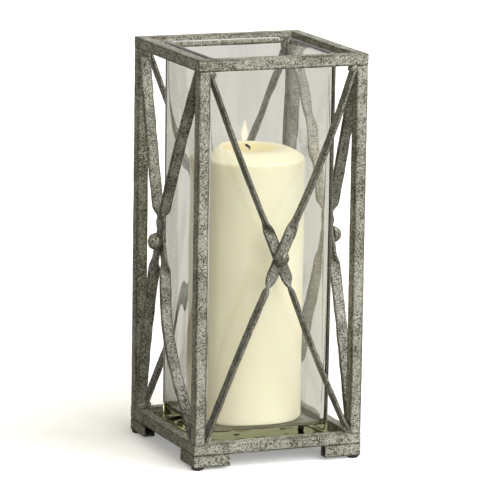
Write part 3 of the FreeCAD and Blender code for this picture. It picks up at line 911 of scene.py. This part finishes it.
def wax_profile():
    """Radius and height: each bend is a quarter circle or a smooth curve between straight runs."""
    z0, z1 = CANDLE_LOW.z, CANDLE_HIGH.z
    edge = z1 - WAX_FALL
    r = WAX_RADIUS
    c, s = quarter(WAX_FOOT, -90, 0, 7)
    foot = np.stack([r - WAX_FOOT + c, z0 + WAX_FOOT + s], 1)
    base = np.stack([np.linspace(0, r - WAX_FOOT, 8)[:-1], np.full(7, z0)], 1)
    side = np.linspace(z0 + WAX_FOOT, edge - WAX_SHOULDER, 60)[1:-1]
    side = np.stack([np.full(len(side), r), side], 1)
    c, s = quarter(WAX_SHOULDER, 0, 68, 10)
    shoulder = np.stack([r - WAX_SHOULDER + c, edge - WAX_SHOULDER + s], 1)
    t = np.linspace(0, 1, 16)[1:]
    rim = np.array([POOL_RADIUS + POOL_LIP, z1])
    slope = shoulder[-1] + (rim - shoulder[-1]) * np.stack([t, 1 - (1 - t) ** 1.7], 1)
    t = np.linspace(0, 1, 26)[1:]
    inward = rim[0] * (1 - t)
    hollow = z1 - POOL_DEPTH * np.sin(np.clip((rim[0] - inward) / rim[0], 0, 1) * np.pi / 2) ** 1.6
    pool = np.stack([inward, hollow], 1)
    return np.vstack([base, foot, side, shoulder, slope, pool])


profile = wax_profile()
grid = revolved(profile[:, 0], profile[:, 1], 160)
angle = np.arctan2(grid[..., 1], grid[..., 0])
from_top = np.clip((grid[..., 2] - CANDLE_HIGH.z + RIM_REACH) / RIM_REACH, 0, 1)
wander = 0.5 * uneven(np.stack([np.cos(angle), np.sin(angle), angle * 0], -1), 2.2, 44)
outer_share = np.clip(np.hypot(grid[..., 0], grid[..., 1]) / WAX_RADIUS, 0, 1)
grid[..., 2] -= RIM_SAG * from_top * (1 + wander) * np.clip(outer_share * 2 - 0.6, 0, 1)
side_wave = SIDE_WAVE * uneven(grid, 60 * MM, 45) * (outer_share > 0.9)
grid = grid + unit(grid * np.array([1, 1, 0]) + 1e-9) * side_wave[..., None]
candle = skin("candle_wax_skin", grid, cream_wax, "candle", ["candle_wax"])

co = np.empty(len(candle.data.vertices) * 3, np.float32)
candle.data.vertices.foreach_get("co", co)
co = co.reshape(-1, 3)
radius = np.hypot(co[:, 0], co[:, 1])
melted = np.clip((POOL_RADIUS - radius) / MELT_FADE, 0, 1) * (co[:, 2] > CANDLE_HIGH.z - 9 * MM)
melt_mark = candle.data.attributes.new("melt", "FLOAT", "POINT")
melt_mark.data.foreach_set("value", melted.astype(np.float32))
candle_size = (2 * WAX_RADIUS, CANDLE_HIGH.z - CANDLE_LOW.z)
print("candle", " by ".join(str(round(v / MM, 1)) for v in candle_size), "mm")

# %% [markdown]
# The wick is braided cotton. Below the flame it is waxed and pale, and its tip is charred black and
# leans over. It is a round profile on a bent path, and the braid is a swelling of its radius that
# runs round it in two directions at once.

# %% Wick
WICK_RADIUS = 1.0 * MM
WICK_RISE, WICK_BEND, WICK_TIP = 1.5 * MM, 2.0 * MM, 3.5 * MM
WICK_LEAN = math.radians(60)
WICK_BELOW = 6 * MM  # how far the wick runs down into the wax
BRAID_PITCH = 4 * MM
CHAR_REACH, CHAR_FADE = 6 * MM, 4 * MM  # how far back the tip is swollen by burning

charred_cotton, tree, output = new_material("waxed_and_charred_cotton")
place = add(tree, "TexCoord").outputs["Object"]
height_of = add(tree, "SeparateXYZ", {0: place}).outputs["Z"]
wick_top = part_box("candle_wick")[1].z
char = add(tree, "MapRange", {0: height_of, 1: wick_top - 6 * MM, 2: wick_top - 4 * MM})
tone = add(tree, "Mix", {0: char.outputs[0], 6: srgb("#e8dcb4"), 7: srgb("#090705")},
           data_type="RGBA")
ash = add(tree, "TexNoise", {"Vector": place, "Scale": per_metre(0.8 * MM), "Detail": 3.0})
dust = add(tree, "MapRange", {0: ash.outputs["Fac"], 1: 0.5, 2: 0.8, 3: 0.0, 4: 0.3})
dusted = add(tree, "Mix", {0: dust.outputs[0], 6: tone.outputs[2], 7: srgb("#3b342c")},
             data_type="RGBA")
cotton = add(tree, "BsdfPrincipled", {"Base Color": dusted.outputs[2], "Roughness": 0.95})
tree.links.new(cotton.outputs[0], output.inputs["Surface"])

bend_start = CANDLE_HIGH.z - POOL_DEPTH + WICK_RISE
arc = np.linspace(0, WICK_LEAN, 12)
rise_z = np.linspace(CANDLE_HIGH.z - POOL_DEPTH - WICK_BELOW, bend_start, 30)
upright = np.stack([rise_z * 0, rise_z * 0, rise_z], 1)
bent = np.stack([-WICK_BEND * (1 - np.cos(arc)), arc * 0, bend_start + WICK_BEND * np.sin(arc)], 1)
tip_way = np.array([-math.sin(WICK_LEAN), 0, math.cos(WICK_LEAN)])
tip = bent[-1] + tip_way * np.linspace(0, WICK_TIP, 8)[1:, None]
line = np.vstack([upright, bent[1:], tip])
tangent = unit(np.gradient(line, axis=0))
side_way = np.cross(tangent, [0.0, 1.0, 0.0])
angle = np.linspace(0, 2 * np.pi, 24, endpoint=False)
travel = np.concatenate([[0], np.cumsum(np.linalg.norm(np.diff(line, axis=0), axis=1))])
pitch = 2 * np.pi * travel[:, None] / BRAID_PITCH
swell = 1 + 0.10 * np.cos(3 * angle + pitch) * np.cos(3 * angle - pitch)
end = np.sqrt(np.clip((travel[-1] - travel) / (1.2 * MM), 0.02, 1))[:, None]
burnt = np.clip((travel - travel[-1] + CHAR_REACH) / CHAR_FADE, 0, 1)[:, None]
radius = (0.82 * WICK_RADIUS * swell * end * (1 + 0.45 * burnt))[..., None]
ring = np.cos(angle)[None, :, None] * side_way[:, None]
ring = ring + np.sin(angle)[None, :, None] * np.array([0, 1.0, 0])
skin("candle_wick_skin", capped(line[:, None] + radius * ring), charred_cotton,
     "candle", ["candle_wick"])
print("wick tip at", round(line[-1, 2] / MM, 1), "mm")

# %% [markdown]
# A small pale flame stands on the wick. Fire is gas that glows, so it has no surface to shade. A
# volume would be the true way, but thin turned skins, one inside another, that are mostly
# transparent and glow a little read the same at this size, and they export as meshes. The outer
# ones are faint and peach, and the inner ones are dense and nearly white.

# %% Flame
FLAME_TALL = 21 * MM
FLAME_GAP, FLAME_LEAN = 2.5 * MM, 0.4 * MM  # its foot above the wick's tip, and to the left of it
FLAME_Z = line[-1, 2] + FLAME_GAP
FLAME_SKINS = {  # widest radius, share of the height, colour, and how dense it is
    "flame_halo": (4.2 * MM, 1.00, "#ffe2b8", 0.12),
    "flame_mantle": (3.5 * MM, 0.93, "#ffeec9", 0.24),
    "flame_body": (2.8 * MM, 0.84, "#fff6d8", 0.40),
    "flame_core": (2.0 * MM, 0.72, "#fffcec", 0.60),
}


def glowing_gas(name, colour, density):
    """Gas that glows and hides little: clear at its foot, denser above."""
    material, tree, output = new_material(name)
    place = add(tree, "TexCoord").outputs["Object"]
    height_of = add(tree, "SeparateXYZ", {0: place}).outputs["Z"]
    dense = add(tree, "MapRange", {0: height_of, 1: FLAME_Z, 2: FLAME_Z + 0.4 * FLAME_TALL,
                                   3: 0.3 * density, 4: density})
    gas = add(tree, "Emission", {"Color": srgb(colour), "Strength": 1.2})
    air = add(tree, "BsdfTransparent")
    glow = add(tree, "MixShader", {0: dense.outputs[0], 1: air.outputs[0], 2: gas.outputs[0]})
    tree.links.new(glow.outputs[0], output.inputs["Surface"])
    return material


t = np.linspace(0, 1, 36)
for name, (widest, tall, colour, density) in FLAME_SKINS.items():
    radius = widest * np.sin(np.pi * t**0.66) ** 0.9 * (1 - 0.35 * t)
    shape = revolved(radius, FLAME_Z + FLAME_TALL * tall * t, 28)
    shape = shape + np.array([line[-1, 0] - FLAME_LEAN, 0, 0])
    skin(name, shape, glowing_gas("glowing_" + name, colour, density), "candle", [])
print("flame", FLAME_TALL / MM, "mm tall")
